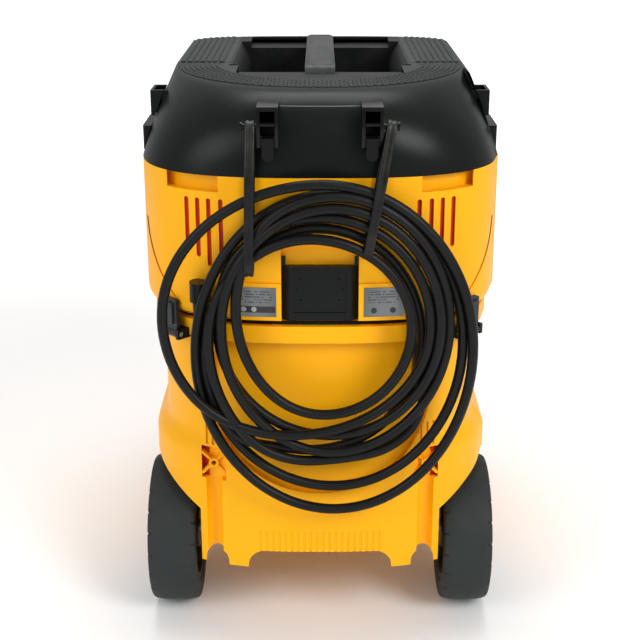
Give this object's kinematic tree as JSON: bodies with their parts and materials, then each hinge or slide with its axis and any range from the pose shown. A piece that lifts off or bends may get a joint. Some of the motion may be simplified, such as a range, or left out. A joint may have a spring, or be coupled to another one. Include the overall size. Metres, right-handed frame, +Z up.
{
  "type": "wheeled shop vacuum",
  "caption": "Boxy wheeled wet and dry shop vacuum: collecting tank on rear wheels and casters, lift-off motor head with grab pocket, control panel and coiled power cord on rear hooks.",
  "frame": {"origin": "on the floor, under the middle of the machine's box measured without the power cord", "axes": "+Z up, +Y towards the hose inlet and control panel, -Y the rear with the stored cord, +X to the right when looking at the rear"},
  "size_m": [0.372, 0.5952, 0.5933],
  "materials": {
    "yellow_plastic": "satin moulded",
    "black_plastic": "fine moulded texture",
    "grey_plastic": "satin",
    "dark_rim": "satin",
    "tyre_rubber": "moulded rubber",
    "soft_rubber": "satin",
    "cord_rubber": "satin jacket",
    "label_film": "satin film",
    "bright_steel": "zinc plated",
    "motor_metal": "cast",
    "filter_paper": "pleated",
    "float_plastic": "smooth",
    "board_green": "lacquered"
  },
  "bodies": {
    "tank": {"tank_shell": "yellow_plastic", "inlet_port": "black_plastic", "inlet_seal": "soft_rubber", "inlet_screws": "bright_steel", "inlet_deflector": "black_plastic", "rear_axle": "bright_steel", "axle_clips": "dark_rim", "caster_mounts": "black_plastic", "latch_pins": "bright_steel", "latch_bases": "black_plastic"},
    "wheel_left": {"tyre_left": "tyre_rubber", "wheel_rim_left": "dark_rim", "wheel_cap_left": "grey_plastic"},
    "wheel_right": {"tyre_right": "tyre_rubber", "wheel_rim_right": "dark_rim", "wheel_cap_right": "grey_plastic"},
    "caster_left": {"caster_fork_left": "black_plastic", "caster_axle_left": "bright_steel"},
    "caster_right": {"caster_fork_right": "black_plastic", "caster_axle_right": "bright_steel"},
    "caster_roller_left": {"caster_wheel_left": "tyre_rubber"},
    "caster_roller_right": {"caster_wheel_right": "tyre_rubber"},
    "latch_left": {"latch_left": "grey_plastic"},
    "latch_right": {"latch_right": "grey_plastic"},
    "head": {"tank_gasket": "soft_rubber", "cord_hook_left": "black_plastic", "cord_hook_right": "black_plastic", "filter_left": "filter_paper", "filter_right": "filter_paper", "cord_strap_left": "soft_rubber", "cord_strap_right": "soft_rubber", "motor_housing": "yellow_plastic", "rating_labels": "label_film", "rear_bracket": "black_plastic", "rear_hood": "black_plastic", "front_hood": "black_plastic", "pocket_tray": "black_plastic", "carry_handle": "grey_plastic", "control_panel": "black_plastic", "outlet_socket": "grey_plastic", "side_loops": "black_plastic", "side_clips": "black_plastic", "filter_deck": "black_plastic", "deck_screws": "bright_steel", "float_cage": "black_plastic", "fan_housing": "black_plastic", "motor_body": "motor_metal", "control_board": "board_green", "cord_coil": "cord_rubber", "plug": "cord_rubber", "power_cord": "cord_rubber", "cord_gland": "soft_rubber"},
    "rotor": {"rotor_shaft": "bright_steel", "impeller": "grey_plastic"},
    "float": {"float_ball": "float_plastic"},
    "purge_valve_left": {"purge_valve_left": "grey_plastic"},
    "purge_valve_right": {"purge_valve_right": "grey_plastic"},
    "power_knob": {"power_knob": "grey_plastic"},
    "hose_dial": {"hose_dial": "grey_plastic"},
    "outlet_flap": {"outlet_flap": "grey_plastic"}
  },
  "joints": [
    {"name": "wheel_left_roll", "type": "hinge", "parent": "tank", "child": "wheel_left", "pos_m": [-0.16, -0.163, 0.0825], "axis": [1, 0, 0], "continuous": true},
    {"name": "caster_left_swivel", "type": "hinge", "parent": "tank", "child": "caster_left", "pos_m": [-0.124, 0.178, 0.072], "axis": [0, 0, 1], "continuous": true},
    {"name": "caster_left_roll", "type": "hinge", "parent": "caster_left", "child": "caster_roller_left", "pos_m": [-0.124, 0.159, 0.031], "axis": [1, 0, 0], "continuous": true},
    {"name": "latch_left_swing", "type": "hinge", "parent": "tank", "child": "latch_left", "pos_m": [-0.1513, -0.23431, 0.343], "axis": [0.7071, -0.7071, 0], "range_deg": [0, 75]},
    {"name": "purge_valve_left_lift", "type": "slide", "parent": "head", "child": "purge_valve_left", "axis": [0, 0, 1], "range_m": [0, 0.006]},
    {"name": "wheel_right_roll", "type": "hinge", "parent": "tank", "child": "wheel_right", "pos_m": [0.16, -0.163, 0.0825], "axis": [1, 0, 0], "continuous": true},
    {"name": "caster_right_swivel", "type": "hinge", "parent": "tank", "child": "caster_right", "pos_m": [0.124, 0.178, 0.072], "axis": [0, 0, 1], "continuous": true},
    {"name": "caster_right_roll", "type": "hinge", "parent": "caster_right", "child": "caster_roller_right", "pos_m": [0.124, 0.159, 0.031], "axis": [1, 0, 0], "continuous": true},
    {"name": "latch_right_swing", "type": "hinge", "parent": "tank", "child": "latch_right", "pos_m": [0.1513, -0.23431, 0.343], "axis": [0.7071, 0.7071, 0], "range_deg": [0, 75]},
    {"name": "purge_valve_right_lift", "type": "slide", "parent": "head", "child": "purge_valve_right", "axis": [0, 0, 1], "range_m": [0, 0.006]},
    {"name": "head_lift", "type": "slide", "parent": "tank", "child": "head", "axis": [0, 0, 1], "range_m": [0, 0.25]},
    {"name": "rotor_spin", "type": "hinge", "parent": "head", "child": "rotor", "pos_m": [0, 0.02, 0.42], "axis": [0, 0, 1], "continuous": true},
    {"name": "float_rise", "type": "slide", "parent": "head", "child": "float", "axis": [0, 0, 1], "range_m": [0, 0.018]},
    {"name": "power_knob_turn", "type": "hinge", "parent": "head", "child": "power_knob", "pos_m": [0.062, 0.23761, 0.55074], "axis": [0, 0.6947, 0.7193], "range_deg": [0, 180]},
    {"name": "hose_dial_turn", "type": "hinge", "parent": "head", "child": "hose_dial", "pos_m": [-0.062, 0.23761, 0.55074], "axis": [0, 0.6947, 0.7193], "range_deg": [0, 270]},
    {"name": "outlet_flap_swing", "type": "hinge", "parent": "head", "child": "outlet_flap", "pos_m": [0, 0.21821, 0.56808], "axis": [1, 0, 0], "range_deg": [0, 110], "stiffness_Nm_per_rad": 0.03, "springref_deg": -20.05}
  ]
}
